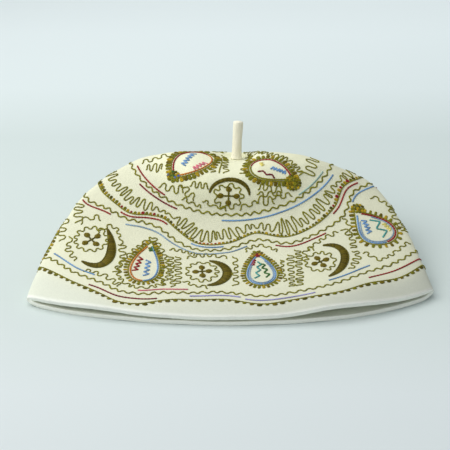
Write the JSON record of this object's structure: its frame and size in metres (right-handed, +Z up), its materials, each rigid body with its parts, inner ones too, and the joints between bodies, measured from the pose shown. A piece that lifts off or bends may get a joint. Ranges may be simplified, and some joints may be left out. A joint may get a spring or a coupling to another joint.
{
  "type": "prayer cap",
  "caption": "Soft felt prayer cap with a short felt stalk on the crown, lying slack on its back wall with the open rim to the front.",
  "frame": {"origin": "middle of the cap's outline on the floor it lies on", "axes": "+X to the right along the rim, +Y away from the open rim towards the crown, +Z up"},
  "size_m": [0.259, 0.1598, 0.0696],
  "materials": {
    "cap_felt": "matt",
    "stalk_felt": "matt"
  },
  "bodies": {
    "root": {"felt_body": "cap_felt", "stalk": "stalk_felt"}
  },
  "joints": []
}
